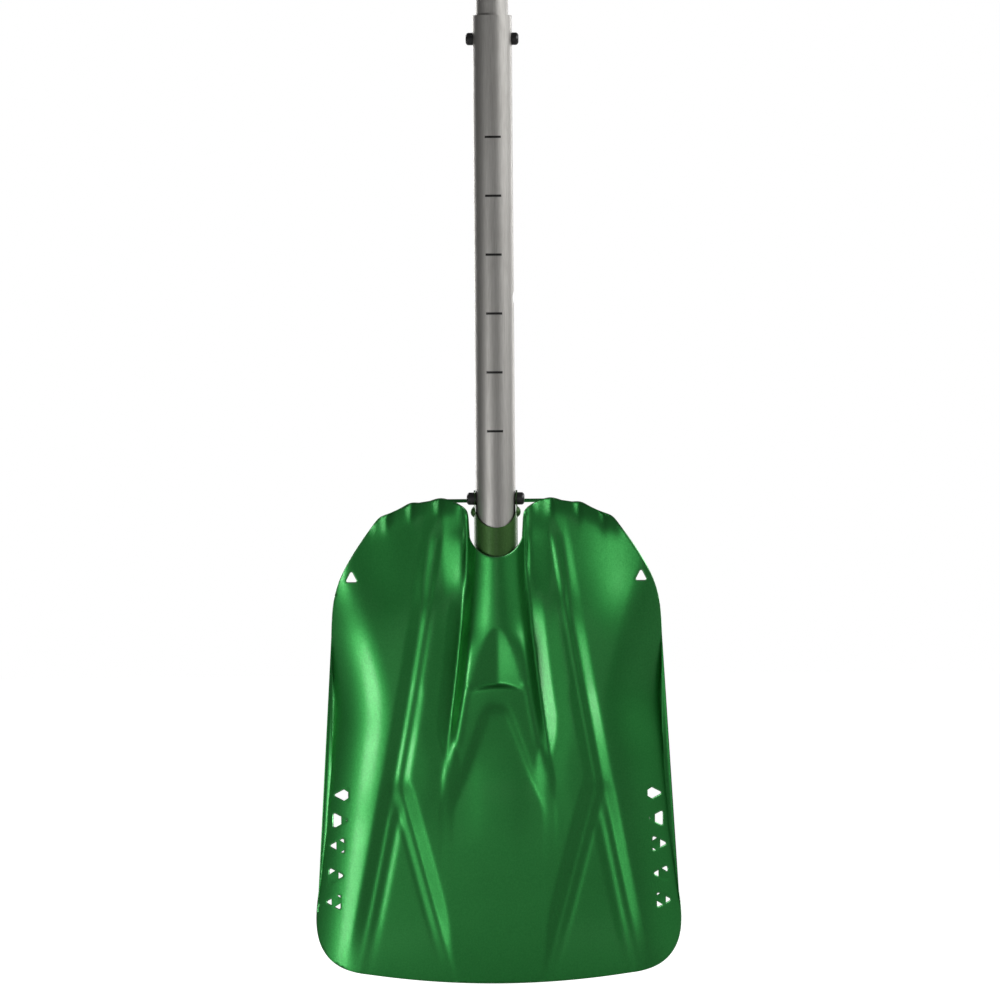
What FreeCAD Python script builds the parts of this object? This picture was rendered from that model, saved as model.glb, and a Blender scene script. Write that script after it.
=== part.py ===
"""Avalanche shovel: a stamped blade, a two-stage telescoping shaft and a T-grip.

Millimetres, +Z up along the shaft towards the grip. The blade's convex back faces -Y and its scoop
faces +Y. The origin is under the middle of the shovel, level with the blade's cutting edge.
Every sub-part is modelled about the shaft's own axis, with z = 0 just above the cutting edge. Writing
it moves it to SHAFT_Y and lifts it by EDGE_DROP.
"""
import FreeCAD, Part
import math
import os

V = FreeCAD.Vector
Z = V(0, 0, 1)

# where the shaft's axis stands, so that the origin is in the middle of the shovel's depth
SHAFT_Y = -2.85
EDGE_DROP = 4.7          # how far the middle of the cutting edge hangs below z = 0

# blade
SHEET = 2.0              # thickness of the stamped sheet, measured along Y
BLADE_TOP = 326.0        # highest point of the two shoulders
LIP_Z = 286.0            # bottom of the rounded neck lip
LIP_HALF = 17.6          # half width of the neck lip
GRID_X, GRID_Z = 3.0, 4.0  # spacing of the points that the sheet's surface passes through

# lower shaft and its socket in the blade
LOWER_R, LOWER_BORE = 13.5, 12.3
SHAFT_FOOT, LOWER_TOP = 244.2, 654.0
SLEEVE_R, SLEEVE_BORE = 14.85, 13.55
SLEEVE_FOOT, STOP_LIP = 242.0, 2.0
RIM_Z = 305.6            # lowest point of the sleeve's scooped rim
EAR_HALF = 5.7           # half width of the sleeve's ears round the button holes
SADDLE_TOP, SADDLE_FOOT = 284.0, 248.0

# snap buttons
BUTTON_R, BUTTON_HOLE = 4.25, 4.4
LOWER_BUTTON_Z, LOWER_BUTTON_TIP = 325.4, 19.7
UPPER_BUTTON_Z, UPPER_BUTTON_TIP = 638.0, 18.1
COLLAPSE = 176.0         # travel between the two positions where the upper shaft locks

# upper shaft and grip
UPPER_R, UPPER_BORE = 11.1, 9.9
UPPER_FOOT, UPPER_TOP = 618.0, 866.0
GRIP_FOOT, GRIP_Z = 834.0, 873.0
ARM_R, PAD_IN, PAD_OUT = 10.5, 17.0, 50.0
PIN_Z, PIN_R = 845.0, 2.0

# outline of the blade's right half, from the cutting edge up the side and along the top to the notch
EDGE_HALF, EDGE_END_Z = 88.0, 1.9
SIDE = [(88, 1.9), (96, 3.1), (102, 4.7), (108, 7.2), (114, 11.4), (120, 19), (123.8, 30.5), (124.4, 42),
        (122.1, 63), (119.7, 80), (116.4, 108), (114, 138), (112.4, 170), (112.3, 200), (112.6, 226),
        (111.9, 246), (110.3, 258.5), (106.7, 270.5), (101, 282), (91.5, 297), (82.6, 309.4)]
TOP = [(82.6, 309.4), (79, 313.2), (74, 315.4), (69, 317.4), (63, 320.4), (57.5, 323), (52, 323.1),
       (46.5, 323.7), (41.5, 325.3), (37, 326), (32, 325), (27, 323), (22.6, 320.4)]
NOTCH_CORNER = [(22.6, 320.4), (20, 318), (18.4, 312)]

# triangular holes: centre x, centre z, and the direction the point faces, in degrees from +X
HOLES = [(105.6, 124.4, 0), (108.4, 107.2, 180), (108.7, 89.9, 0), (111.3, 69.6, 180),
         (111.4, 51.6, 0), (98.4, 272.2, 90)]
HOLE_REACH, TOP_HOLE_REACH, HOLE_CORNER = 6.3, 4.9, 0.9


def rise(u, centre, half):
    """Smooth step from 0 to 1, nine tenths of it within half of centre."""
    return 0.5 * (1 + math.tanh(1.5 * (u - centre) / half))


def band(u, low, high, half):
    """Smooth window that is 1 between low and high."""
    return rise(u, low, half) - rise(u, high, half)


def ramp(u, soft):
    """Zero below 0 and u above it, rounded over a few times soft."""
    return soft * math.log1p(math.exp(u / soft)) if u < 30 * soft else u


def incline(u, start, end, soft=0.5):
    """Straight slope from 0 at start to 1 at end, its two corners rounded by soft."""
    return (ramp(u - start, soft) - ramp(u - end, soft)) / (end - start)


def rib_wall(z):
    """Distance from the middle of the wall between the outer panel and the rib's channel."""
    return 101.5 - 0.215 * z + 0.0001 * z * z


def groove_line(z):
    """Distance from the middle of the groove in the rib's inner edge, which forks off below."""
    fork, rib_edge = 32 + 0.267 * z, rib_wall(z) - 8.5
    return -1.5 * math.log(math.exp(-fork / 1.5) + math.exp(-rib_edge / 1.5))


def tunnel_half(z):
    """Half width of the tunnel over the socket."""
    drop = 290 - z
    return min(16.2 + 0.03 * drop + 0.00055 * drop * drop, 34)


def tunnel(s, z):
    """The raised tunnel over the socket: round at the neck, then two legs round a dish."""
    half = tunnel_half(z)
    crown = 1 - (0.08 + 0.36 * rise(z, 232, 14)) * min(s / half, 1) ** 2
    wall = (ramp(s - half + 0.6, 0.9) - ramp(s - half - 4.6, 0.3)) / 5.2
    height = 17.9 * rise(z, 178, 62) * crown * (1 - wall)
    if 190 < z < 238:
        reach = 2.75 * math.sqrt(238 - z)
        arc = 198 - 0.012 * s * s
        inside = ramp(1 - math.hypot(s, 1.5) / reach, 0.06)
        height -= 0.8 * math.sqrt(238 - z) * inside * rise(z, arc, 1.6)
    between_legs = 1 - rise(s, 6.5 + 0.36 * (184 - z), 3.6)
    height -= 2.6 * between_legs * (rise(z, 128, 17) - rise(z, 183 - 0.012 * s * s, 6))
    seam = 20 + 0.17 * (192 - z)
    crest = incline(s, seam - 1.5, seam + 1) - incline(s, seam + 1, seam + 6)
    height += 0.7 * crest * band(z, 158, 195, 5)
    height += 0.6 * math.exp(-(s - 19) ** 2 / 5 - (z - 198) ** 2 / 5)
    return height


def bank_reach(z):
    """Window along the blade in which the bank beside the tunnel stands."""
    return rise(z, 112, 36) - rise(z, 258, 18)


def inner_panel(s, z):
    """Between the tunnel and the rib: a valley beside the legs, a bank and the notch's rolled ridge."""
    valley = min(tunnel_half(z) + 5, 31.5) - 5 * band(z, 122, 156, 13)
    bank = 3.1 * incline(s, valley - 1, valley + 9, 0.4) + 1.5 * incline(s, valley + 8, valley + 21, 2)
    height = bank * bank_reach(z)
    height -= 1.2 * rise(s, 15, 12) * band(z, 100, 152, 22)
    rolled = rise(s, 20.8, 1.8) - incline(s, 23.5, 36, 1.2)
    height += 4.5 * rolled * rise(z, 262, 22) * (1 - 0.5 * rise(z, 302, 9))
    return height


def rib(s, z):
    """The forked side rib: a channel with a grooved inner edge, and a flat triangle in its fork."""
    wall, groove = rib_wall(z), groove_line(z)
    joined, top, taper = rise(z, 130, 8), rise(z, 262, 12), rise(z, 28, 26)
    first = taper * (3.1 - 1.7 * joined - 0.6 * rise(z, 196, 9) - 0.6 * rise(z, 240, 12))
    width = 3.1 + 6.2 * taper - 3.1 * joined - 2.7 * rise(z, 196, 8)
    height = -first * incline(s, groove - width, groove - 1)
    upper = taper * (1 - rise(z, 301, 8))
    height += (0.45 + 0.7 * top) * incline(s, groove - 0.9, groove + 0.9, 0.4) * upper
    start, end = groove + 1 + 0.6 * joined + 2.3 * top, groove + 6 - 1.3 * joined + 3 * top
    height -= (1.1 + 0.5 * top) * incline(s, start, end) * upper
    fork = taper - rise(z, 113, 9)
    height += 0.55 * incline(s, groove + 6, groove + 8) * fork
    outer = 1.1 * incline(s, wall - 10.5, wall - 6.5) - 1.0 * incline(s, wall - 15.5, wall - 11)
    height += (outer - 0.7 * incline(s, wall - 6, wall - 3.5)) * fork
    channel = 4.6 * bank_reach(z) - first - (0.65 - 0.2 * top) * upper - 0.05 * fork
    panel = taper * (5.95 * rise(z, 112, 44) - 0.8) - 4.4 * rise(z, 256, 32)
    return height + (panel - channel) * incline(s, wall - 3.4, wall + 4.2)


def side(s, z):
    """The side panels curl away towards the scoop below, and the shoulders turn the other way."""
    curl = max(0, s - 94 + 0.14 * z - 0.45 * ramp(z - 190, 10))
    shoulder = 8.5 * rise(s, 79, 26) + 0.1 * ramp(s - 50, 3) - 0.01 * max(0, s - 98) ** 2
    return shoulder * rise(z, 251, 33) - 0.0113 * curl * curl


def top_lip(s, z):
    """A shoulder's top edge leans back, with three stiffening flutes that deepen towards the edge."""
    below = 324.5 - 0.0065 * max(0, s - 36) ** 2 - z
    lean = 0.3 * ramp(9 - below, 2) * band(s, 27, 84, 3)
    flutes = sum(math.exp(-((s - at) / 3) ** 2) for at in (38, 57, 74))
    return -lean - 0.15 * ramp(14 - below, 2) * flutes


def blade_height(x, z):
    """How far the back face of the sheet stands towards -Y from the shaft's axis."""
    s = abs(x)
    lift = -9 * (max(0, 230 - z) / 230) ** 2
    return lift + tunnel(s, z) + inner_panel(s, z) + rib(s, z) + side(s, z) + top_lip(s, z)


def spline(points, sign):
    """Curve through outline points on one side, in the plane y = 0."""
    curve = Part.BSplineCurve()
    curve.interpolate([V(sign * x, 0, z) for x, z in points])
    return curve.toShape()


def blade_outline():
    left, right = V(-EDGE_HALF, 0, EDGE_END_Z), V(EDGE_HALF, 0, EDGE_END_Z)
    edges = [Part.Arc(left, V(0, 0, -EDGE_DROP), right).toShape()]
    for sign in (1, -1):
        edges += [spline(SIDE, sign), spline(TOP, sign), spline(NOTCH_CORNER, sign)]
        corner = V(sign * NOTCH_CORNER[-1][0], 0, NOTCH_CORNER[-1][1])
        edges.append(Part.LineSegment(corner, V(sign * LIP_HALF, 0, 299)).toShape())
    edges.append(Part.Arc(V(-LIP_HALF, 0, 299), V(0, 0, LIP_Z), V(LIP_HALF, 0, 299)).toShape())
    return Part.Wire(Part.__sortEdges__(edges))


def triangle(x, z, facing, reach):
    """Prism of a rounded triangular hole through the blade."""
    corners = []
    for turn in (0, 125, 235):
        angle = math.radians(facing + turn)
        corners.append(V(x + reach * math.cos(angle), -60, z + reach * math.sin(angle)))
    face = Part.Face(Part.makePolygon(corners + corners[:1]))
    prism = face.extrude(V(0, 120, 0))
    uprights = [e for e in prism.Edges if abs(e.tangentAt(e.FirstParameter).y) > 0.9]
    return prism.makeFillet(HOLE_CORNER, uprights)


def blade():
    columns = int(270 / GRID_X)
    rows = int(344 / GRID_Z)
    grid = [[V(i * GRID_X - 135, -blade_height(i * GRID_X - 135, j * GRID_Z - 10), j * GRID_Z - 10)
             for j in range(rows + 1)] for i in range(columns + 1)]
    surface = Part.BSplineSurface()
    surface.interpolate(grid)
    sheet = surface.toShape().extrude(V(0, SHEET, 0))
    outline = Part.Face(blade_outline())
    outline.translate(V(0, -60, 0))
    plan = outline.extrude(V(0, 120, 0))
    cuts = []
    for x, z, facing in HOLES:
        reach = TOP_HOLE_REACH if facing == 90 else HOLE_REACH
        cuts += [triangle(x, z, facing, reach), triangle(-x, z, 180 - facing, reach)]
    return plan.cut(Part.Compound(cuts)).common(sheet)


def tube(outer, inner, low, high):
    wall = Part.makeCylinder(outer, high - low, V(0, 0, low))
    return wall.cut(Part.makeCylinder(inner, high - low + 2, V(0, 0, low - 1)))


def cross_bore(radius, z, reach=40):
    """Cylinder along X through both walls of a tube."""
    return Part.makeCylinder(radius, 2 * reach, V(-reach, 0, z), V(1, 0, 0))


def turned(points):
    """Solid turned about Z from a closed profile of (radius, z) points."""
    profile = [V(r, 0, z) for r, z in points]
    return Part.Face(Part.makePolygon(profile + profile[:1])).revolve(V(), Z, 360)


def socket_sleeve():
    """Tube for the lower shaft, with a stop lip below and two ears that the buttons lock into."""
    top = LOWER_BUTTON_Z + EAR_HALF
    sleeve = tube(SLEEVE_R, SLEEVE_BORE, SLEEVE_FOOT, top)
    for side_sign in (1, -1):
        lead_in = Part.makeSphere(4.1, V(side_sign * 13.0, 0, 316.4))
        sleeve = sleeve.fuse(lead_in)
    sleeve = sleeve.cut(Part.makeCylinder(SLEEVE_BORE, top - SLEEVE_FOOT + 2, V(0, 0, SLEEVE_FOOT - 1)))
    half = math.sqrt(SLEEVE_R ** 2 - EAR_HALF ** 2)
    centre_z = RIM_Z + 12.4
    scoop = Part.Ellipse(V(0, 0, 0), half, 12.4).toShape()
    scoop = Part.Face(Part.Wire(scoop)).extrude(V(0, 0, 60))
    scoop.rotate(V(), V(1, 0, 0), 90)
    scoop.translate(V(0, 30, centre_z))
    above = Part.makeBox(2 * half, 60, 30, V(-half, -30, centre_z))
    crown = Part.makeBox(60, 60, 20, V(-30, -30, LOWER_BUTTON_Z))
    crown = crown.cut(cross_bore(EAR_HALF, LOWER_BUTTON_Z))
    sleeve = sleeve.cut(scoop).cut(above).cut(crown)
    sleeve = sleeve.cut(cross_bore(BUTTON_HOLE, LOWER_BUTTON_Z))
    return sleeve.fuse(tube(SLEEVE_BORE + 0.3, 10.5, SLEEVE_FOOT, SLEEVE_FOOT + STOP_LIP)).removeSplitter()


def socket_saddle():
    """Half pipe behind the sleeve with two narrow flanges, welded to the sheet."""
    length = SADDLE_TOP - SADDLE_FOOT
    pipe = tube(SLEEVE_R + 1.75, SLEEVE_R + 0.15, SADDLE_FOOT, SADDLE_TOP)
    pipe = pipe.common(Part.makeBox(60, 30, length, V(-30, 2.3, SADDLE_FOOT)))
    for sign in (1, -1):
        corner = V(15.2 if sign > 0 else -21.5, 2.3, SADDLE_FOOT)
        pipe = pipe.fuse(Part.makeBox(6.3, 1.6, length, corner))
    pipe = pipe.cut(Part.makeCylinder(SLEEVE_R + 0.15, length + 2, V(0, 0, SADDLE_FOOT - 1)))
    return pipe.removeSplitter()


def lower_shaft():
    shaft = tube(LOWER_R, LOWER_BORE, SHAFT_FOOT, LOWER_TOP)
    for z in (LOWER_BUTTON_Z, UPPER_BUTTON_Z, UPPER_BUTTON_Z - COLLAPSE):
        shaft = shaft.cut(cross_bore(BUTTON_HOLE, z))
    return shaft


def upper_shaft():
    shaft = tube(UPPER_R, UPPER_BORE, UPPER_FOOT, UPPER_TOP)
    shaft = shaft.cut(cross_bore(BUTTON_HOLE, UPPER_BUTTON_Z))
    return shaft.cut(Part.makeCylinder(PIN_R + 0.05, 60, V(0, -30, PIN_Z), V(0, 1, 0)))


def lower_shaft_plug():
    """Cup pressed into the foot of the lower shaft."""
    low, rim = SHAFT_FOOT + 0.2, LOWER_BORE - 0.05
    return turned([(0, low), (rim, low), (rim, low + 10), (rim - 2, low + 10), (rim - 2, low + 2.5),
                   (0, low + 2.5)])


def shaft_bushing():
    """Guide ring inside the mouth of the lower shaft."""
    return tube(LOWER_BORE - 0.02, UPPER_R + 0.05, 643.5, LOWER_TOP)


def upper_shaft_guide():
    """Plug in the foot of the upper shaft, whose collar runs in the lower shaft's bore."""
    foot, collar = UPPER_FOOT - 5, LOWER_BORE - 0.1
    return turned([(5, foot), (collar - 0.8, foot), (collar, foot + 0.8), (collar, UPPER_FOOT - 0.1),
                   (UPPER_BORE - 0.05, UPPER_FOOT - 0.1), (UPPER_BORE - 0.05, 626), (5, 626)])


def spring_clip(button_z, outside, thick, bend_z):
    """V spring of flat strip: a round bend, two sloping legs and two upright ends with a stem hole."""
    away = 1 if button_z > bend_z else -1
    bend = 3.2
    knee, end = button_z - away * 9, button_z + away * 5.5
    outer = [V(outside, 0, end), V(outside, 0, knee), V(bend, 0, bend_z)]
    inner = [V(bend - thick, 0, bend_z), V(outside - thick, 0, knee), V(outside - thick, 0, end)]
    mirror = [V(-p.x, 0, p.z) for p in outer + inner]
    bottom = V(0, 0, bend_z - away * bend)
    inside = V(0, 0, bend_z - away * (bend - thick))
    runs = [(outer[0], outer[1]), (outer[1], outer[2]), (inner[0], inner[1]), (inner[1], inner[2]),
            (inner[2], outer[0]), (mirror[0], mirror[1]), (mirror[1], mirror[2]),
            (mirror[3], mirror[4]), (mirror[4], mirror[5]), (mirror[5], mirror[0])]
    edges = [Part.LineSegment(a, b).toShape() for a, b in runs]
    edges.append(Part.Arc(outer[2], bottom, mirror[2]).toShape())
    edges.append(Part.Arc(inner[0], inside, mirror[3]).toShape())
    strip = Part.Face(Part.Wire(Part.__sortEdges__(edges))).extrude(V(0, 5.6, 0))
    strip.translate(V(0, -2.8, 0))
    return strip.cut(cross_bore(1.85, button_z))


def snap_button(side_sign, z, tip, flange, leg_inside):
    """Domed button with a flange inside the tube and a stem riveted through the spring's leg."""
    profile = [(0, leg_inside - 0.65), (2.4, leg_inside - 0.65), (2.4, leg_inside - 0.2),
               (1.7, leg_inside - 0.2), (1.7, flange[0]), (flange[2], flange[0]), (flange[2], flange[1]),
               (BUTTON_R, flange[1]), (BUTTON_R, tip - 1.7)]
    points = [V(r, 0, out) for r, out in profile]
    edges = [Part.LineSegment(a, b).toShape() for a, b in zip(points, points[1:])]
    land, crown = V(1.5, 0, tip), V(0, 0, tip)
    edges.append(Part.Arc(points[-1], V(BUTTON_R * 0.8, 0, tip - 0.55), land).toShape())
    edges += [Part.LineSegment(land, crown).toShape(), Part.LineSegment(crown, points[0]).toShape()]
    button = Part.Face(Part.Wire(edges)).revolve(V(), Z, 360)
    button.rotate(V(), V(0, 1, 0), 90 * side_sign)
    button.translate(V(0, 0, z))
    return button


def arm_profile(outer, inner, low, high):
    """Ring about X from low to high, its outside following a list of (x, radius)."""
    points = [V(low, 0, inner), V(high, 0, inner), V(high, 0, outer[-1][1])]
    swell = Part.BSplineCurve()
    swell.interpolate([V(x, 0, r) for x, r in outer])
    edges = [Part.LineSegment(points[0], points[1]).toShape(),
             Part.LineSegment(points[1], points[2]).toShape(), swell.toShape(),
             Part.LineSegment(V(low, 0, outer[0][1]), points[0]).toShape()]
    ring = Part.Face(Part.Wire(Part.__sortEdges__(edges))).revolve(V(), V(1, 0, 0), 360)
    ring.translate(V(0, 0, GRIP_Z))
    return ring


def grip_body():
    """Stem and crossbar core: the stem takes the upper shaft and the core carries the two pads."""
    stem = turned([(0, GRIP_FOOT), (14.2, GRIP_FOOT), (15, GRIP_FOOT + 1), (15, 846), (14, 853),
                   (13.5, 860), (0, 872)])
    hub = [(-PAD_IN + 0.2, 13.2), (-11, 14), (0, 14.3), (11, 14), (PAD_IN - 0.2, 13.2)]
    curve = Part.BSplineCurve()
    curve.interpolate([V(x, 0, r) for x, r in hub])
    left, right = V(hub[0][0], 0, 0), V(hub[-1][0], 0, 0)
    edges = [curve.toShape(), Part.LineSegment(left, V(hub[0][0], 0, hub[0][1])).toShape(),
             Part.LineSegment(V(hub[-1][0], 0, hub[-1][1]), right).toShape(),
             Part.LineSegment(left, right).toShape()]
    knuckle = Part.Face(Part.Wire(Part.__sortEdges__(edges))).revolve(V(), V(1, 0, 0), 360)
    knuckle.translate(V(0, 0, GRIP_Z))
    core = Part.makeCylinder(ARM_R, 2 * PAD_OUT, V(-PAD_OUT, 0, GRIP_Z), V(1, 0, 0))
    for sign in (1, -1):
        core = core.cut(Part.makeCylinder(5.1, 12, V(sign * PAD_OUT, 0, GRIP_Z), V(-sign, 0, 0)))
    body = stem.fuse(knuckle).fuse(core)
    body = body.cut(Part.makeCylinder(UPPER_R + 0.1, UPPER_TOP + 0.3 - GRIP_FOOT, V(0, 0, GRIP_FOOT)))
    body = body.cut(Part.makeCylinder(PIN_R + 0.05, 60, V(0, -30, PIN_Z), V(0, 1, 0)))
    return body.removeSplitter()


def grip_pad():
    """Rubber sleeve on the right arm."""
    swell = [(PAD_IN, 13.3), (24, 13.0), (33, 12.7), (42, 13.3), (PAD_OUT - 0.2, 14.2)]
    return arm_profile(swell, ARM_R + 0.05, PAD_IN, PAD_OUT - 0.2)


def grip_cap():
    """Domed end cap of the right arm, with a spigot into the core."""
    rim, end = PAD_OUT, 58.0
    points = [V(rim - 10, 0, 0), V(rim - 10, 0, 5), V(rim, 0, 5), V(rim, 0, 14.2), V(rim + 3, 0, 13.9)]
    edges = [Part.LineSegment(a, b).toShape() for a, b in zip(points, points[1:])]
    land, tip = V(end, 0, 4), V(end, 0, 0)
    edges.append(Part.Arc(points[-1], V(end - 1.9, 0, 10), land).toShape())
    edges += [Part.LineSegment(land, tip).toShape(), Part.LineSegment(tip, points[0]).toShape()]
    cap = Part.Face(Part.Wire(edges)).revolve(V(), V(1, 0, 0), 360)
    cap.translate(V(0, 0, GRIP_Z))
    return cap


def grip_pin():
    """Headed pin through the stem and the upper shaft."""
    shank = Part.makeCylinder(PIN_R, 30.4, V(0, -15.2, PIN_Z), V(0, 1, 0))
    for y, way in ((-15.1, -1), (15.1, 1)):
        shank = shank.fuse(Part.makeCone(3.6, 2.4, 0.9, V(0, y, PIN_Z), V(0, way, 0)))
    return shank


def mirrored(shape):
    return shape.mirror(V(), V(1, 0, 0))


def main():
    lower = dict(z=LOWER_BUTTON_Z, tip=LOWER_BUTTON_TIP, flange=(9.9, 10.8, 5.2), leg_inside=8.9)
    upper = dict(z=UPPER_BUTTON_Z, tip=UPPER_BUTTON_TIP, flange=(7.6, 8.4, 4.7), leg_inside=6.8)
    pad, cap = grip_pad(), grip_cap()
    parts = {
        "blade": blade(),
        "socket_sleeve": socket_sleeve(),
        "socket_saddle": socket_saddle(),
        "lower_shaft": lower_shaft(),
        "lower_shaft_plug": lower_shaft_plug(),
        "lower_spring_clip": spring_clip(LOWER_BUTTON_Z, 9.6, 0.7, LOWER_BUTTON_Z - 45),
        "lower_button_left": snap_button(-1, **lower),
        "lower_button_right": snap_button(1, **lower),
        "shaft_bushing": shaft_bushing(),
        "upper_shaft": upper_shaft(),
        "upper_shaft_guide": upper_shaft_guide(),
        "upper_spring_clip": spring_clip(UPPER_BUTTON_Z, 7.4, 0.6, UPPER_BUTTON_Z + 42),
        "upper_button_left": snap_button(-1, **upper),
        "upper_button_right": snap_button(1, **upper),
        "grip_body": grip_body(),
        "grip_pad_left": mirrored(pad),
        "grip_pad_right": pad,
        "grip_cap_left": mirrored(cap),
        "grip_cap_right": cap,
        "grip_pin": grip_pin(),
    }
    os.makedirs("parts", exist_ok=True)
    for name, shape in parts.items():
        shape.translate(V(0, SHAFT_Y, EDGE_DROP))
        shape.exportStep(f"parts/{name}.step")
        box = shape.BoundBox
        print(f"{name}: {len(shape.Solids)} solid, valid {shape.isValid()}, {shape.Volume:.0f} mm3, "
              f"x {box.XMin:.1f} {box.XMax:.1f}, y {box.YMin:.1f} {box.YMax:.1f}, "
              f"z {box.ZMin:.1f} {box.ZMax:.1f}")


main()
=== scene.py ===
"""Looks of the avalanche shovel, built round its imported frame.

Blender's metres. +Z runs up the shaft, the blade's convex back faces -Y and its scoop faces +Y.
The blade's shape is worked out in millimetres about the shaft's axis, as it was designed.
"""
import math

import bmesh
import bpy
import numpy as np
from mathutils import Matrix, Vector
from mathutils.geometry import delaunay_2d_cdt

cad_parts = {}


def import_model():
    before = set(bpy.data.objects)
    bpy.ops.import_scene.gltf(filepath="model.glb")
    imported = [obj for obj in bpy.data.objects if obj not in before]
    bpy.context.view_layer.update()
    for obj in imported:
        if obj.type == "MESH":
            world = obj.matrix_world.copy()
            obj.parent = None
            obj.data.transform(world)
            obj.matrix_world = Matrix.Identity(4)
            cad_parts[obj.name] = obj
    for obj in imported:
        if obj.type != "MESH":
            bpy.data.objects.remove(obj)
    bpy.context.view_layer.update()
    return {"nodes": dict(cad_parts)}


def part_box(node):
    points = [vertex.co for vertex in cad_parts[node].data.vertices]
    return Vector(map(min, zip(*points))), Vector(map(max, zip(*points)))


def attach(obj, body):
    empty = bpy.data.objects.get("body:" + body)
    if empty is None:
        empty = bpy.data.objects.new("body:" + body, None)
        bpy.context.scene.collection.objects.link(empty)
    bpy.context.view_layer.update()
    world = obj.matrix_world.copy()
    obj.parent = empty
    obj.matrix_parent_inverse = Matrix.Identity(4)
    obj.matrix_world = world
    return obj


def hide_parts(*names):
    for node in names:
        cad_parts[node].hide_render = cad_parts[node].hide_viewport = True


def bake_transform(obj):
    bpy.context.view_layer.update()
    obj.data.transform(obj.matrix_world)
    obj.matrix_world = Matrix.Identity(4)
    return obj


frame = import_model()

MM = 0.001
SHAFT_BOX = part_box("lower_shaft")
AXIS_Y = (SHAFT_BOX[0].y + SHAFT_BOX[1].y) / 2   # where the shaft's axis stands


# ---------------------------------------------------------------- the blade's shape, in millimetres

SHEET = 2.0              # thickness of the stamped sheet, measured along Y
LIP_HALF, LIP_Z, LIP_END_Z = 17.6, 286.0, 299.0
EDGE_HALF, EDGE_END_Z = 88.0, 1.9
EDGE_DROP = 4.7          # how far the middle of the cutting edge hangs below z = 0
SIDE = [(88, 1.9), (96, 3.1), (102, 4.7), (108, 7.2), (114, 11.4), (120, 19), (123.8, 30.5), (124.4, 42),
        (122.1, 63), (119.7, 80), (116.4, 108), (114, 138), (112.4, 170), (112.3, 200), (112.6, 226),
        (111.9, 246), (110.3, 258.5), (106.7, 270.5), (101, 282), (91.5, 297), (82.6, 309.4)]
TOP = [(82.6, 309.4), (79, 313.2), (74, 315.4), (69, 317.4), (63, 320.4), (57.5, 323), (52, 323.1),
       (46.5, 323.7), (41.5, 325.3), (37, 326), (32, 325), (27, 323), (22.6, 320.4)]
NOTCH_CORNER = [(22.6, 320.4), (20, 318), (18.4, 312)]
HOLES = [(105.6, 124.4, 0), (108.4, 107.2, 180), (108.7, 89.9, 0), (111.3, 69.6, 180),
         (111.4, 51.6, 0), (98.4, 272.2, 90)]
HOLE_REACH, TOP_HOLE_REACH, HOLE_CORNER = 6.3, 4.9, 0.9
EDGE_ROUND = 0.75        # radius of the sheet's rounded edges
GRIP_Z = 873.0           # height of the grip's crossbar
PAD_IN, PAD_OUT = 17.0, 49.8     # where each rubber sleeve of the grip starts and ends
PAD_BORE = 10.55
GROOVE_PITCH, GROOVE_DEPTH = 3.3, 0.55   # the sleeves' shallow grooves
SPRING_WIDTH, SPRING_BEND = 5.6, 3.2     # width of a V spring's strip, and the radius of its bend
STEM_HOLE = 1.85         # radius of the hole for a button's stem


def rise(u, centre, half):
    """Smooth step from 0 to 1, nine tenths of it within half of centre."""
    return 0.5 * (1 + np.tanh(1.5 * (u - centre) / half))


def band(u, low, high, half):
    """Smooth window that is 1 between low and high."""
    return rise(u, low, half) - rise(u, high, half)


def ramp(u, soft):
    """Zero below 0 and u above it, rounded over a few times soft."""
    return soft * np.logaddexp(0, u / soft)


def incline(u, start, end, soft=0.5):
    """Straight slope from 0 at start to 1 at end, its two corners rounded by soft."""
    return (ramp(u - start, soft) - ramp(u - end, soft)) / (end - start)


def rib_wall(z):
    """Distance from the middle of the wall between the outer panel and the rib's channel."""
    return 101.5 - 0.215 * z + 0.0001 * z * z


def groove_line(z):
    """Distance from the middle of the groove in the rib's inner edge, which forks off below."""
    fork, rib_edge = 32 + 0.267 * z, rib_wall(z) - 8.5
    return -1.5 * np.logaddexp(-fork / 1.5, -rib_edge / 1.5)


def tunnel_half(z):
    """Half width of the tunnel over the socket."""
    drop = 290 - z
    return np.minimum(16.2 + 0.03 * drop + 0.00055 * drop * drop, 34)


def tunnel(s, z):
    """The raised tunnel over the socket: round at the neck, then two legs round a dish."""
    half = tunnel_half(z)
    crown = 1 - (0.08 + 0.36 * rise(z, 232, 14)) * np.minimum(s / half, 1) ** 2
    wall = (ramp(s - half + 0.6, 0.9) - ramp(s - half - 4.6, 0.3)) / 5.2
    height = 17.9 * rise(z, 178, 62) * crown * (1 - wall)
    depth = np.sqrt(np.clip(238 - z, 0, 48))
    inside = ramp(1 - np.hypot(s, 1.5) / np.maximum(2.75 * depth, 0.1), 0.06)
    height -= 0.8 * depth * inside * rise(z, 198 - 0.012 * s * s, 1.6) * (z > 190)
    between_legs = 1 - rise(s, 6.5 + 0.36 * (184 - z), 3.6)
    height -= 2.6 * between_legs * (rise(z, 128, 17) - rise(z, 183 - 0.012 * s * s, 6))
    seam = 20 + 0.17 * (192 - z)
    crest = incline(s, seam - 1.5, seam + 1) - incline(s, seam + 1, seam + 6)
    height += 0.7 * crest * band(z, 158, 195, 5)
    height += 0.6 * np.exp(-(s - 19) ** 2 / 5 - (z - 198) ** 2 / 5)
    return height


def bank_reach(z):
    """Window along the blade in which the bank beside the tunnel stands."""
    return rise(z, 112, 36) - rise(z, 258, 18)


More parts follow.
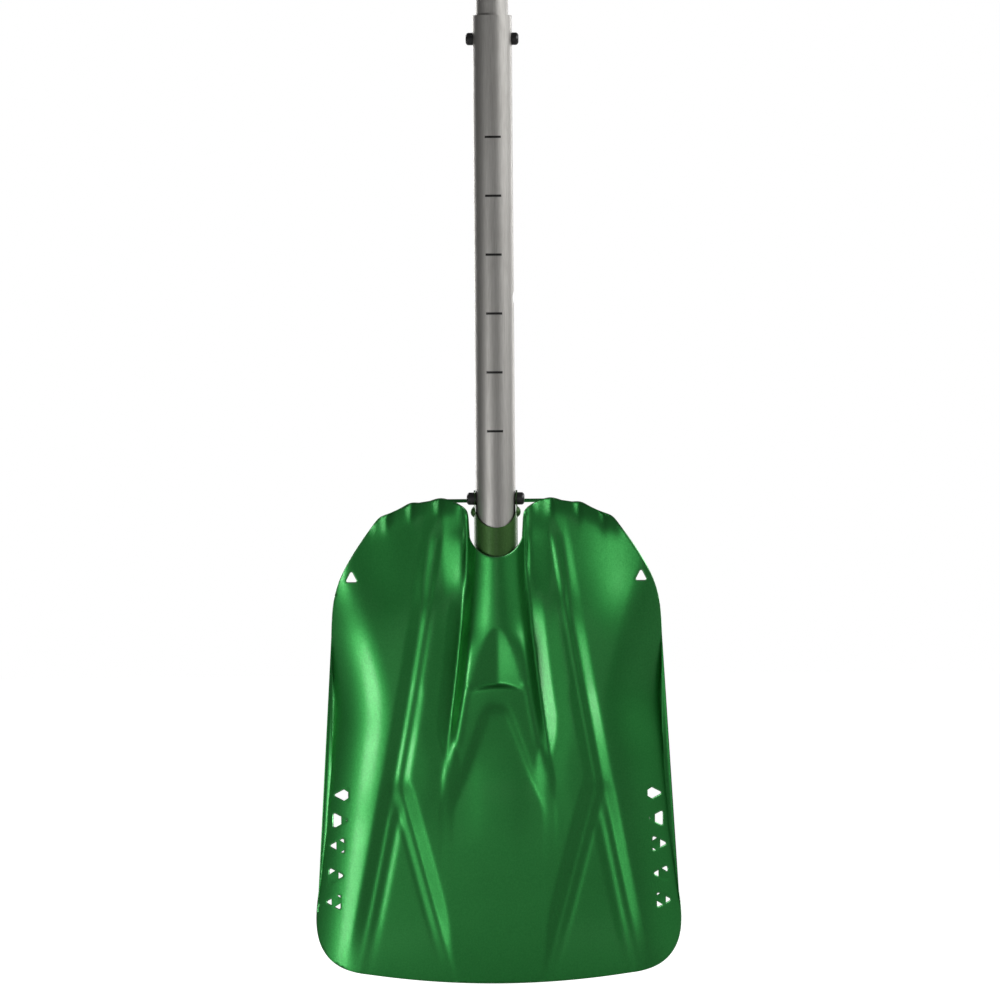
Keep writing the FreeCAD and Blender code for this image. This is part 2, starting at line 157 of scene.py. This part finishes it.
def inner_panel(s, z):
    """Between the tunnel and the rib: a valley beside the legs, a bank and the notch's rolled ridge."""
    valley = np.minimum(tunnel_half(z) + 5, 31.5) - 5 * band(z, 122, 156, 13)
    bank = 3.1 * incline(s, valley - 1, valley + 9, 0.4) + 1.5 * incline(s, valley + 8, valley + 21, 2)
    height = bank * bank_reach(z)
    height -= 1.2 * rise(s, 15, 12) * band(z, 100, 152, 22)
    rolled = rise(s, 20.8, 1.8) - incline(s, 23.5, 36, 1.2)
    height += 4.5 * rolled * rise(z, 262, 22) * (1 - 0.5 * rise(z, 302, 9))
    return height


def rib(s, z):
    """The forked side rib: a channel with a grooved inner edge, and a flat triangle in its fork."""
    wall, groove = rib_wall(z), groove_line(z)
    joined, top, taper = rise(z, 130, 8), rise(z, 262, 12), rise(z, 28, 26)
    first = taper * (3.1 - 1.7 * joined - 0.6 * rise(z, 196, 9) - 0.6 * rise(z, 240, 12))
    width = 3.1 + 6.2 * taper - 3.1 * joined - 2.7 * rise(z, 196, 8)
    height = -first * incline(s, groove - width, groove - 1)
    upper = taper * (1 - rise(z, 301, 8))
    height += (0.45 + 0.7 * top) * incline(s, groove - 0.9, groove + 0.9, 0.4) * upper
    start, end = groove + 1 + 0.6 * joined + 2.3 * top, groove + 6 - 1.3 * joined + 3 * top
    height -= (1.1 + 0.5 * top) * incline(s, start, end) * upper
    fork = taper - rise(z, 113, 9)
    height += 0.55 * incline(s, groove + 6, groove + 8) * fork
    outer = 1.1 * incline(s, wall - 10.5, wall - 6.5) - 1.0 * incline(s, wall - 15.5, wall - 11)
    height += (outer - 0.7 * incline(s, wall - 6, wall - 3.5)) * fork
    channel = 4.6 * bank_reach(z) - first - (0.65 - 0.2 * top) * upper - 0.05 * fork
    panel = taper * (5.95 * rise(z, 112, 44) - 0.8) - 4.4 * rise(z, 256, 32)
    return height + (panel - channel) * incline(s, wall - 3.4, wall + 4.2)


def side(s, z):
    """The side panels curl away towards the scoop below, and the shoulders turn the other way."""
    curl = np.maximum(0, s - 94 + 0.14 * z - 0.45 * ramp(z - 190, 10))
    shoulder = 8.5 * rise(s, 79, 26) + 0.1 * ramp(s - 50, 3) - 0.01 * np.maximum(0, s - 98) ** 2
    return shoulder * rise(z, 251, 33) - 0.0113 * curl * curl


def top_lip(s, z):
    """A shoulder's top edge leans back, with three stiffening flutes that deepen towards the edge."""
    below = 324.5 - 0.0065 * np.maximum(0, s - 36) ** 2 - z
    lean = 0.3 * ramp(9 - below, 2) * band(s, 27, 84, 3)
    flutes = sum(np.exp(-((s - at) / 3) ** 2) for at in (38, 57, 74))
    return -lean - 0.15 * ramp(14 - below, 2) * flutes


def blade_height(x, z):
    """How far the back face of the sheet stands towards -Y from the shaft's axis."""
    s = np.abs(x)
    lift = -9 * (np.maximum(0, 230 - z) / 230) ** 2
    return lift + tunnel(s, z) + inner_panel(s, z) + rib(s, z) + side(s, z) + top_lip(s, z)


# ---------------------------------------------------------------- outlines

def natural_spline(points, step):
    """Points about step apart on the smooth curve through a list of points."""
    pts = np.array(points, float)
    chord = np.hypot(*(pts[1:] - pts[:-1]).T)
    at = np.concatenate([[0], np.cumsum(chord)])
    count = len(pts)
    system = np.eye(count)
    right = np.zeros_like(pts)
    for i in range(1, count - 1):
        before, after = chord[i - 1], chord[i]
        system[i, i - 1:i + 2] = before, 2 * (before + after), after
        right[i] = 6 * ((pts[i + 1] - pts[i]) / after - (pts[i] - pts[i - 1]) / before)
    bend = np.linalg.solve(system, right)
    run = []
    for i in range(count - 1):
        length = chord[i]
        for t in np.linspace(0, length, max(2, round(length / step) + 1))[:-1]:
            a, b = (length - t), t
            point = (bend[i] * a ** 3 + bend[i + 1] * b ** 3) / (6 * length)
            point += (pts[i] / length - bend[i] * length / 6) * a
            point += (pts[i + 1] / length - bend[i + 1] * length / 6) * b
            run.append(tuple(point))
    run.append(tuple(pts[-1]))
    return run


def arc_through(start, middle_z, step):
    """Points from (start x, z) to its mirror image along the arc whose lowest point is at middle_z."""
    half, rise_z = abs(start[0]), start[1] - middle_z
    radius = (half * half + rise_z * rise_z) / (2 * rise_z)
    span = math.asin(half / radius)
    sign = 1 if start[0] > 0 else -1
    count = round(2 * span * radius / step)
    turns = np.linspace(sign * span, -sign * span, count + 1)
    return [(radius * math.sin(t), middle_z + radius * (1 - math.cos(t))) for t in turns]


def straight(a, b, step):
    count = max(1, round(math.dist(a, b) / step))
    return [(a[0] + (b[0] - a[0]) * i / count, a[1] + (b[1] - a[1]) * i / count) for i in range(count)]


def blade_outline(step):
    """The blade's outline, anticlockwise as seen from its back, from the right end of the edge."""
    up = natural_spline(SIDE, step)[:-1] + natural_spline(TOP, step)[:-1]
    up += natural_spline(NOTCH_CORNER, step)[:-1]
    up += straight(NOTCH_CORNER[-1], (LIP_HALF, LIP_END_Z), step)
    lip = arc_through((LIP_HALF, LIP_END_Z), LIP_Z, step)
    down = [(-x, z) for x, z in reversed(up)]
    edge = arc_through((-EDGE_HALF, EDGE_END_Z), -EDGE_DROP, step)
    return up + lip + down + edge[1:-1]


def triangle_hole(x, z, facing, reach, steps=5):
    """A rounded triangle, clockwise, so that the sheet lies on its left."""
    corners = []
    for turn in (0, 235, 125):
        angle = math.radians(facing + turn)
        corners.append(Vector((x + reach * math.cos(angle), z + reach * math.sin(angle))))
    run = []
    for i in range(3):
        before, corner, after = corners[i - 1], corners[i], corners[(i + 1) % 3]
        into, out = (before - corner).normalized(), (after - corner).normalized()
        half = into.angle(out) / 2
        back = HOLE_CORNER / math.tan(half)
        centre = corner + (into + out).normalized() * HOLE_CORNER / math.sin(half)
        first, last = corner + into * back - centre, corner + out * back - centre
        turn = first.angle_signed(last)
        start = math.atan2(first.y, first.x)
        for k in range(steps + 1):
            angle = start - turn * k / steps
            run.append((centre.x + HOLE_CORNER * math.cos(angle),
                        centre.y + HOLE_CORNER * math.sin(angle)))
    return run


def spread(loop, step):
    """The same closed loop with more points on its long runs."""
    run = []
    for a, b in zip(loop, loop[1:] + loop[:1]):
        run += straight(a, b, step)
    return run


def inward(loop):
    """Unit directions into the sheet for a loop that has the sheet on its left."""
    pts = np.array(loop)
    along = np.roll(pts, -1, 0) - np.roll(pts, 1, 0)
    along /= np.hypot(*along.T)[:, None]
    return np.stack([-along[:, 1], along[:, 0]], 1)


# ---------------------------------------------------------------- mesh helpers

def new_object(name, verts, faces, material, smooth=True):
    mesh = bpy.data.meshes.new(name)
    mesh.from_pydata([tuple(v) for v in verts], [], faces)
    mesh.validate()
    mesh.update()
    if smooth:
        mesh.polygons.foreach_set("use_smooth", [True] * len(mesh.polygons))
    obj = bpy.data.objects.new(name, mesh)
    bpy.context.scene.collection.objects.link(obj)
    mesh.materials.append(material)
    return obj


def world(x, y, z):
    """From millimetres about the shaft's axis to the frame's metres."""
    return (x * MM, y * MM + AXIS_Y, (z + EDGE_DROP) * MM)


# ---------------------------------------------------------------- materials

def material(name):
    mat = bpy.data.materials.new(name)
    mat.use_nodes = True
    nodes, links = mat.node_tree.nodes, mat.node_tree.links
    shader = nodes["Principled BSDF"]
    return mat, nodes, links, shader


def object_coordinates(nodes, links, scale=(1, 1, 1)):
    where = nodes.new("ShaderNodeTexCoord")
    mapping = nodes.new("ShaderNodeMapping")
    mapping.inputs["Scale"].default_value = scale
    links.new(where.outputs["Object"], mapping.inputs["Vector"])
    return mapping.outputs["Vector"]


def noise(nodes, links, vector, scale, detail=2.0, roughness=0.5):
    node = nodes.new("ShaderNodeTexNoise")
    node.inputs["Scale"].default_value = scale
    node.inputs["Detail"].default_value = detail
    node.inputs["Roughness"].default_value = roughness
    links.new(vector, node.inputs["Vector"])
    return node.outputs["Fac"]


def remap(nodes, links, value, low, high, to_low, to_high):
    node = nodes.new("ShaderNodeMapRange")
    for name, number in (("From Min", low), ("From Max", high), ("To Min", to_low), ("To Max", to_high)):
        node.inputs[name].default_value = number
    links.new(value, node.inputs["Value"])
    return node.outputs["Result"]


def blend_colours(nodes, links, factor, dark, light):
    node = nodes.new("ShaderNodeMix")
    node.data_type = "RGBA"
    links.new(factor, node.inputs["Factor"])
    node.inputs["A"].default_value = (*dark, 1)
    node.inputs["B"].default_value = (*light, 1)
    return node.outputs["Result"]


def bump(nodes, links, shader, height, strength, distance):
    node = nodes.new("ShaderNodeBump")
    node.inputs["Strength"].default_value = strength
    node.inputs["Distance"].default_value = distance
    links.new(height, node.inputs["Height"])
    links.new(node.outputs["Normal"], shader.inputs["Normal"])


def anodised(name, dark, light, rough, grain=900, stretch=(1, 1, 1), coat=0.3, strength=0.12):
    """Satin anodised aluminium: a fine blasted or drawn grain, and a faint cloudiness in the dye."""
    mat, nodes, links, shader = material(name)
    shader.inputs["Metallic"].default_value = 1.0
    shader.inputs["Coat Weight"].default_value = coat
    shader.inputs["Coat Roughness"].default_value = 0.22
    vector = object_coordinates(nodes, links, stretch)
    plain = object_coordinates(nodes, links)
    fine = noise(nodes, links, vector, grain, 3.0, 0.6)
    cloud = noise(nodes, links, plain, 22, 3.0, 0.55)
    mixed = nodes.new("ShaderNodeMath")
    mixed.operation = "MULTIPLY_ADD"
    links.new(fine, mixed.inputs[0])
    mixed.inputs[1].default_value = 0.7
    half_cloud = nodes.new("ShaderNodeMath")
    half_cloud.operation = "MULTIPLY"
    links.new(cloud, half_cloud.inputs[0])
    half_cloud.inputs[1].default_value = 0.3
    links.new(half_cloud.outputs[0], mixed.inputs[2])
    tone = remap(nodes, links, mixed.outputs[0], 0.34, 0.66, 0, 1)
    links.new(blend_colours(nodes, links, tone, dark, light), shader.inputs["Base Color"])
    links.new(remap(nodes, links, fine, 0.3, 0.7, rough + 0.04, rough - 0.04), shader.inputs["Roughness"])
    bump(nodes, links, shader, fine, strength, 0.00004)
    return mat


def printed_ticks(mat, reach, apart, ink):
    """A plain scale printed along the front of a tube: the same short bar every so often."""
    thick, half_length = 0.0016, 0.0055
    nodes, links = mat.node_tree.nodes, mat.node_tree.links
    shader = nodes["Principled BSDF"]
    split = nodes.new("ShaderNodeSeparateXYZ")
    links.new(object_coordinates(nodes, links), split.inputs["Vector"])

    def calc(operation, first, second):
        node = nodes.new("ShaderNodeMath")
        node.operation = operation
        for socket, value in zip(node.inputs, (first, second)):
            if isinstance(value, float):
                socket.default_value = value
            else:
                links.new(value, socket)
        return node.outputs[0]

    x, y, z = (split.outputs[axis] for axis in "XYZ")
    along = calc("SUBTRACT", z, reach[0])
    bar = calc("LESS_THAN", calc("MODULO", along, apart), thick)
    for test in (calc("GREATER_THAN", along, 0.0), calc("LESS_THAN", z, reach[1]),
                 calc("LESS_THAN", calc("ABSOLUTE", x, 0.0), half_length), calc("LESS_THAN", y, AXIS_Y)):
        bar = calc("MULTIPLY", bar, test)
    metal = shader.inputs["Base Color"].links[0].from_socket
    inked = nodes.new("ShaderNodeMix")
    inked.data_type = "RGBA"
    links.new(bar, inked.inputs["Factor"])
    links.new(metal, inked.inputs["A"])
    inked.inputs["B"].default_value = (*ink, 1)
    links.new(inked.outputs["Result"], shader.inputs["Base Color"])


def moulded(name, colour, rough, grain=1400, strength=0.25):
    """Moulded plastic or rubber with a fine spark-eroded texture."""
    mat, nodes, links, shader = material(name)
    vector = object_coordinates(nodes, links)
    fine = noise(nodes, links, vector, grain, 2.0, 0.6)
    tone = remap(nodes, links, noise(nodes, links, vector, 60, 3.0), 0.3, 0.7, 0, 1)
    darker = tuple(c * 0.8 for c in colour)
    lighter = tuple(c * 1.25 for c in colour)
    links.new(blend_colours(nodes, links, tone, darker, lighter), shader.inputs["Base Color"])
    links.new(remap(nodes, links, fine, 0.3, 0.7, rough - 0.06, rough + 0.06), shader.inputs["Roughness"])
    bump(nodes, links, shader, fine, strength, 0.00006)
    return mat


def strip_steel(name, colour, rough):
    """Rolled spring steel or turned pin: bright metal with fine lines."""
    mat, nodes, links, shader = material(name)
    shader.inputs["Metallic"].default_value = 1.0
    lines = noise(nodes, links, object_coordinates(nodes, links, (1, 1, 0.04)), 2600, 2.0, 0.6)
    tone = remap(nodes, links, lines, 0.35, 0.65, 0, 1)
    darker = tuple(c * 0.8 for c in colour)
    links.new(blend_colours(nodes, links, tone, darker, colour), shader.inputs["Base Color"])
    links.new(remap(nodes, links, lines, 0.3, 0.7, rough - 0.05, rough + 0.07), shader.inputs["Roughness"])
    bump(nodes, links, shader, lines, 0.1, 0.00003)
    return mat


BLADE_GREEN = anodised("blade_green", (0.024, 0.215, 0.044), (0.034, 0.27, 0.058), 0.44)
# Lighter green for the sheet's rounded edges: the lighter colour is a painted highlight along every edge of
# the sheet.
EDGE_PAINTED_HIGHLIGHT = anodised("blade_edge_painted_highlight", (0.10, 0.36, 0.13), (0.14, 0.42, 0.17), 0.3)
SLEEVE_OLIVE = anodised("sleeve_olive", (0.045, 0.115, 0.03), (0.06, 0.145, 0.04), 0.6)
SADDLE_GREEN = anodised("saddle_green", (0.018, 0.22, 0.05), (0.026, 0.27, 0.065), 0.38)
SHAFT_GREY = anodised("shaft_grey", (0.36, 0.35, 0.33), (0.46, 0.45, 0.43), 0.5,
                      grain=1500, stretch=(1, 1, 0.05), coat=0.1, strength=0.08)
printed_ticks(SHAFT_GREY, (0.375, 0.615), 0.04, (0.03, 0.03, 0.03))
BUTTON_BLACK = moulded("button_black", (0.012, 0.012, 0.012), 0.35, strength=0.1)
BLACK_PLASTIC = moulded("black_plastic", (0.02, 0.02, 0.02), 0.5)
GRIP_PLASTIC = moulded("grip_plastic", (0.022, 0.022, 0.023), 0.5)
GRIP_RUBBER = moulded("grip_rubber", (0.02, 0.02, 0.02), 0.72)
SPRING_STEEL = strip_steel("spring_steel", (0.52, 0.52, 0.51), 0.3)
PIN_STEEL = strip_steel("pin_steel", (0.6, 0.6, 0.59), 0.28)

BY_NODE = {
    "socket_sleeve": SLEEVE_OLIVE, "socket_saddle": SADDLE_GREEN,
    "lower_shaft": SHAFT_GREY, "upper_shaft": SHAFT_GREY,
    "lower_shaft_plug": BLACK_PLASTIC, "shaft_bushing": BLACK_PLASTIC, "upper_shaft_guide": BLACK_PLASTIC,
    "lower_spring_clip": SPRING_STEEL, "upper_spring_clip": SPRING_STEEL,
    "lower_button_left": BUTTON_BLACK, "lower_button_right": BUTTON_BLACK,
    "upper_button_left": BUTTON_BLACK, "upper_button_right": BUTTON_BLACK,
    "grip_body": GRIP_PLASTIC, "grip_pad_left": GRIP_RUBBER, "grip_pad_right": GRIP_RUBBER,
    "grip_cap_left": GRIP_PLASTIC, "grip_cap_right": GRIP_PLASTIC, "grip_pin": PIN_STEEL,
}


# ---------------------------------------------------------------- pieces

GRID = 1.25      # spacing of the blade's mesh


def inside_loops(points, loops):
    """Which points lie inside the first loop and outside the others."""
    inside = np.zeros(len(points), bool)
    for loop in loops:
        a = np.array(loop)
        b = np.roll(a, -1, 0)
        for (ax, az), (bx, bz) in zip(a, b):
            if az != bz:
                crosses = (points[:, 1] < az) != (points[:, 1] < bz)
                inside ^= crosses & (points[:, 0] < ax + (points[:, 1] - az) * (bx - ax) / (bz - az))
    return inside


def sheet_grid(loops, rings):
    """Grid points on the sheet that keep clear of its rings."""
    reach = max(x for x, _ in SIDE)
    columns = np.arange(-round(reach / GRID), round(reach / GRID) + 1) * GRID
    rows = np.arange(-round(EDGE_DROP / GRID), round(328 / GRID)) * GRID
    grid = np.stack(np.meshgrid(columns, rows), -1).reshape(-1, 2)
    grid = grid[inside_loops(grid, loops)]
    clear = np.ones(len(grid), bool)
    for ring in rings:
        low, high = ring.min(0) - GRID, ring.max(0) + GRID
        near = np.nonzero(((grid > low) & (grid < high)).all(1))[0]
        for start in range(0, len(near), 4000):
            some = near[start:start + 4000]
            apart = np.hypot(*(grid[some][:, None, :] - ring[None, :, :]).transpose(2, 0, 1)).min(1)
            clear[some] &= apart > GRID * 0.6
    return grid[clear]


def blade_piece():
    """The stamped sheet: a fine mesh for each face, joined by a rounded edge round every outline."""
    loops = [blade_outline(1.0)]
    for x, z, facing in HOLES:
        reach = TOP_HOLE_REACH if facing == 90 else HOLE_REACH
        loops.append(spread(triangle_hole(x, z, facing, reach), 1.0))
        loops.append(spread(triangle_hole(-x, z, 180 - facing, reach), 1.0))
    inwards = [inward(loop) for loop in loops]
    rings = [np.array(loop) + into * EDGE_ROUND for loop, into in zip(loops, inwards)]
    starts = np.cumsum([0] + [len(ring) for ring in rings])
    edges = [(int(start) + i, int(start) + (i + 1) % len(ring))
             for start, ring in zip(starts, rings) for i in range(len(ring))]
    flat = np.concatenate(rings + [sheet_grid(loops, rings)])
    _, _, found, origins, _, _ = delaunay_2d_cdt([Vector(p) for p in flat], edges, [], 0, 1e-6)
    source = [o[0] for o in origins]
    triangles = np.array([[source[i] for i in face] for face in found])
    middles = flat[triangles].mean(1)
    on_rings = (triangles < starts[-1]).all(1)
    keep = ~on_rings
    keep[on_rings] = inside_loops(middles[on_rings], [list(map(tuple, ring)) for ring in rings])
    triangles = triangles[keep]

    count = len(flat)
    front = -blade_height(flat[:, 0], flat[:, 1])
    verts = np.concatenate([np.stack([flat[:, 0], front, flat[:, 1]], 1),
                            np.stack([flat[:, 0], front + SHEET, flat[:, 1]], 1)])
    faces = [tuple(t) for t in triangles] + [tuple(t[::-1] + count) for t in triangles]
    rim_from = len(faces)
    turns = [math.radians(a) for a in (30, 60, 90)]
    profile = [(EDGE_ROUND * math.sin(a), EDGE_ROUND * (1 - math.cos(a))) for a in turns]
    profile += [(out, SHEET - depth) for out, depth in reversed(profile)]
    for loop, into, start in zip(loops, inwards, starts):
        levels = [np.arange(start, start + len(loop))]
        for out, depth in profile:
            at = np.array(loop) + into * (EDGE_ROUND - out)
            back = -blade_height(at[:, 0], at[:, 1]) + depth
            levels.append(np.arange(len(verts), len(verts) + len(loop)))
            verts = np.concatenate([verts, np.stack([at[:, 0], back, at[:, 1]], 1)])
        levels.append(levels[0] + count)
        for near, far in zip(levels, levels[1:]):
            near_next, far_next = np.roll(near, -1), np.roll(far, -1)
            faces += [tuple(f) for f in np.stack([near, far, far_next, near_next], 1)]
    places = [world(*v) for v in verts]
    blade = new_object("blade_sheet", places, [tuple(int(i) for i in f) for f in faces], BLADE_GREEN)
    # The rim faces take the lighter material, a painted highlight along the sheet's edges.
    blade.data.materials.append(EDGE_PAINTED_HIGHLIGHT)
    rim = np.zeros(len(blade.data.polygons), int)
    rim[rim_from:] = 1
    blade.data.polygons.foreach_set("material_index", rim)
    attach(blade, "blade")
    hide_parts("blade")


def developed(path):
    """Turn a distance along a list of (x, z) points into a place on it and the direction to its left."""
    pts = np.array(path, float)
    along = np.diff(pts, axis=0)
    length = np.hypot(*along.T)
    at = np.concatenate([[0], np.cumsum(length)])
    corner = along / length[:, None]
    corner = np.concatenate([corner[:1], corner[:-1] + corner[1:], corner[-1:]])
    corner /= np.hypot(*corner.T)[:, None]

    def place(u):
        spot = np.array([np.interp(u, at, pts[:, i]) for i in (0, 1)])
        way = np.array([np.interp(u, at, corner[:, i]) for i in (0, 1)])
        return spot, np.array([-way[1], way[0]])
    return at, place


def strip_with_hole(name, path, width, thick, hole_z, hole_r, mat):
    """A flat strip bent along a path in the plane of X and Z, with a round hole."""
    at, place = developed(path)
    total, half = at[-1], width / 2
    hole_u = np.interp(hole_z, *zip(*sorted((z, u) for (_, z), u in zip(path, at))))
    corner = 1.6
    tip = [(total - corner + corner * math.cos(a), sign * (half - corner) + corner * math.sin(a))
           for sign, spans in ((-1, (-90, 0)), (1, (0, 90)))
           for a in np.radians(np.linspace(*spans, 6))]
    outer = spread([(0.0, -half)] + tip + [(0.0, half)], 0.8)
    hole = [(hole_u + hole_r * math.cos(a), -hole_r * math.sin(a))
            for a in np.linspace(0, 2 * math.pi, 24, endpoint=False)]
    loops = [outer, hole]
    inner = [(u, v) for u in np.arange(0.6, total, 0.8) for v in (-1.4, 0.0, 1.4)
             if math.hypot(u - hole_u, v) > hole_r + 0.4]
    flat = np.array(outer + hole + inner)
    edges = [(start + i, start + (i + 1) % len(loop))
             for start, loop in ((0, outer), (len(outer), hole)) for i in range(len(loop))]
    _, _, found, origins, _, _ = delaunay_2d_cdt([Vector(p) for p in flat], edges, [], 0, 1e-6)
    source = [o[0] for o in origins]
    triangles = np.array([[source[i] for i in face] for face in found])
    triangles = triangles[inside_loops(flat[triangles].mean(1), loops)]
    sheets = []
    for side_of in (0.5, -0.5):
        spots, left = place(flat[:, 0])
        sheets.append(np.stack([spots[0] + left[0] * thick * side_of, flat[:, 1],
                                spots[1] + left[1] * thick * side_of], 1))
    count = len(flat)
    faces = [tuple(map(int, f)) for f in triangles]
    faces += [tuple(map(int, f[::-1] + count)) for f in triangles]
    faces += [(b, a, a + count, b + count) for a, b in edges]
    piece = new_object(name, [world(*v) for v in np.concatenate(sheets)], faces, mat, smooth=False)
    outward(piece)
    return piece


def outward(piece):
    """Make every face of a closed piece look out."""
    work = bmesh.new()
    work.from_mesh(piece.data)
    bmesh.ops.recalc_face_normals(work, faces=work.faces)
    work.to_mesh(piece.data)
    work.free()


def spring_piece(which, button_z, outside, thick, bend_z):
    """Each leg of a V spring: a strip bent from the bend down to its knee and on past its button, with a
    hole for the button's stem.
    """
    away = 1 if button_z > bend_z else -1
    middle, bend = outside - thick / 2, SPRING_BEND - thick / 2
    curve = [(bend * math.sin(a), bend_z - away * bend * math.cos(a))
             for a in np.radians(np.linspace(0, 90, 9))]
    knee = button_z - away * 9
    path = curve + [(bend + (middle - bend) * k / 8, bend_z + (knee - bend_z) * k / 8) for k in range(1, 9)]
    path.append((middle, button_z + away * 5.5))
    for sign, hand in ((-1, "left"), (1, "right")):
        leg = strip_with_hole(f"{which}_spring_leg_{hand}", [(sign * x, z) for x, z in path],
                              SPRING_WIDTH, thick, button_z, STEM_HOLE, SPRING_STEEL)
        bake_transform(leg)
        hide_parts(f"{which}_spring_clip")


def pad_piece(hand, sign):
    """Rubber sleeve of the grip: a soft swell with shallow grooves round it and eased ends."""
    swell = [(PAD_IN, 13.3), (24, 13.0), (33, 12.7), (42, 13.3), (PAD_OUT, 14.2)]
    x, radius = np.array(natural_spline(swell, 0.25)).T
    waves = np.clip((np.cos(2 * np.pi * (x - PAD_IN) / GROOVE_PITCH) - 0.35) / 0.65, 0, 1)
    radius = radius - GROOVE_DEPTH * waves * band(x, PAD_IN + 2.5, PAD_OUT - 2.3, 0.6)
    ease = 0.5
    radius = radius - ease * np.clip(1 - np.minimum(x - PAD_IN, PAD_OUT - x) / ease, 0, 1) ** 2
    profile = list(zip(x, radius)) + [(PAD_OUT, PAD_BORE), (33.0, PAD_BORE), (PAD_IN, PAD_BORE)]
    turns = 96
    verts, faces = [], []
    for out, r in profile:
        verts += [world(sign * out, r * math.cos(a), GRIP_Z + r * math.sin(a))
                  for a in np.linspace(0, 2 * math.pi, turns, endpoint=False)]
    rows = len(profile)
    for i in range(rows):
        for k in range(turns):
            here, over = i * turns, (i + 1) % rows * turns
            faces.append((here + k, here + (k + 1) % turns, over + (k + 1) % turns, over + k))
    pad = new_object(f"grip_sleeve_{hand}", verts, faces, GRIP_RUBBER)
    outward(pad)
    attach(pad, "upper_shaft")
    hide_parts(f"grip_pad_{hand}")


blade_piece()
spring_piece("lower", 325.4, 9.6, 0.7, 280.4)
spring_piece("upper", 638.0, 7.4, 0.6, 680.0)
for hand, sign in (("left", -1), ("right", 1)):
    pad_piece(hand, sign)
for node, look in BY_NODE.items():
    mesh = frame["nodes"][node].data
    mesh.materials.clear()
    mesh.materials.append(look)


# ---------------------------------------------------------------- floor, light and camera

def floor_piece():
    size = 20.0
    mat, nodes, links, shader = material("floor_pale")
    shader.inputs["Base Color"].default_value = (0.5, 0.5, 0.5, 1)
    shader.inputs["Roughness"].default_value = 0.9
    glow, ray, add = (nodes.new("ShaderNodeEmission"), nodes.new("ShaderNodeLightPath"),
                      nodes.new("ShaderNodeAddShader"))
    glow.inputs["Color"].default_value = (1, 1, 1, 1)
    strength = nodes.new("ShaderNodeMath")
    strength.operation = "MULTIPLY"
    strength.inputs[1].default_value = 0.93
    links.new(ray.outputs["Is Camera Ray"], strength.inputs[0])
    links.new(strength.outputs[0], glow.inputs["Strength"])
    links.new(shader.outputs["BSDF"], add.inputs[0])
    links.new(glow.outputs["Emission"], add.inputs[1])
    links.new(add.outputs["Shader"], nodes["Material Output"].inputs["Surface"])
    floor = new_object("floor", [(-size, -size, 0), (size, -size, 0), (size, size, 0), (-size, size, 0)],
                       [(0, 1, 2, 3)], mat, smooth=False)
    floor.location.z = -0.0005


def area_light(name, place, target, width, height, power):
    light = bpy.data.lights.new(name, "AREA")
    light.shape = "RECTANGLE"
    light.size, light.size_y, light.energy = width, height, power
    lamp = bpy.data.objects.new(name, light)
    lamp.location = place
    lamp.rotation_euler = (Vector(target) - Vector(place)).to_track_quat("-Z", "Y").to_euler()
    bpy.context.scene.collection.objects.link(lamp)


def around(azimuth, elevation, distance, target):
    """A place at that angle from the camera's side, to the right for a positive azimuth."""
    a, e = math.radians(azimuth), math.radians(elevation)
    return (target[0] + distance * math.sin(a) * math.cos(e),
            target[1] - distance * math.cos(a) * math.cos(e),
            target[2] + distance * math.sin(e))


def backdrop():
    """White to the camera, and a soft grey room to the object."""
    scene = bpy.context.scene
    scene.world = bpy.data.worlds.new("studio")
    scene.world.use_nodes = True
    nodes, links = scene.world.node_tree.nodes, scene.world.node_tree.links
    room = nodes["Background"]
    room.inputs["Color"].default_value = (1, 1, 1, 1)
    room.inputs["Strength"].default_value = 0.14
    seen = nodes.new("ShaderNodeBackground")
    seen.inputs["Color"].default_value = (1, 1, 1, 1)
    seen.inputs["Strength"].default_value = 1.0
    ray, mix = nodes.new("ShaderNodeLightPath"), nodes.new("ShaderNodeMixShader")
    links.new(ray.outputs["Is Camera Ray"], mix.inputs["Fac"])
    links.new(room.outputs["Background"], mix.inputs[1])
    links.new(seen.outputs["Background"], mix.inputs[2])
    links.new(mix.outputs["Shader"], nodes["World Output"].inputs["Surface"])


VIEW_WIDTH = 0.680       # what the picture spans at the shaft's axis
LENS, SENSOR = 600.0, 36.0
ROLL = math.radians(0.45)   # the shaft leans this much in the picture


def camera():
    data = bpy.data.cameras.new("camera")
    data.lens, data.sensor_width = LENS, SENSOR
    data.clip_end = 100
    cam = bpy.data.objects.new("camera", data)
    distance = VIEW_WIDTH * LENS / SENSOR
    cam.location = (0.003, AXIS_Y - distance, 0.3244 + EDGE_DROP * MM)
    cam.rotation_euler = (math.radians(90), ROLL, 0)
    bpy.context.scene.collection.objects.link(cam)
    bpy.context.scene.camera = cam


floor_piece()
backdrop()
area_light("key_left", around(-38, 0, 1.0, (0, 0, 0.08)), (0, 0, 0.16), 0.36, 0.15, 3.6)
area_light("front_fill", around(0, 0, 2.4, (0, 0, 0.3)), (0, 0, 0.3), 0.7, 1.4, 1.7)
area_light("window_right", around(75, 0, 1.6, (0, 0, 1.2)), (0, 0, 1.1), 2.3, 0.9, 27)
area_light("back_left", around(-150, 14, 1.9, (0, 0, 0.4)), (0, 0, 0.4), 0.7, 1.2, 17)
area_light("back_right", around(140, 8, 1.9, (0, 0, 0.4)), (0, 0, 0.4), 0.4, 1.2, 9)
camera()
bpy.context.scene.view_settings.view_transform = "Standard"
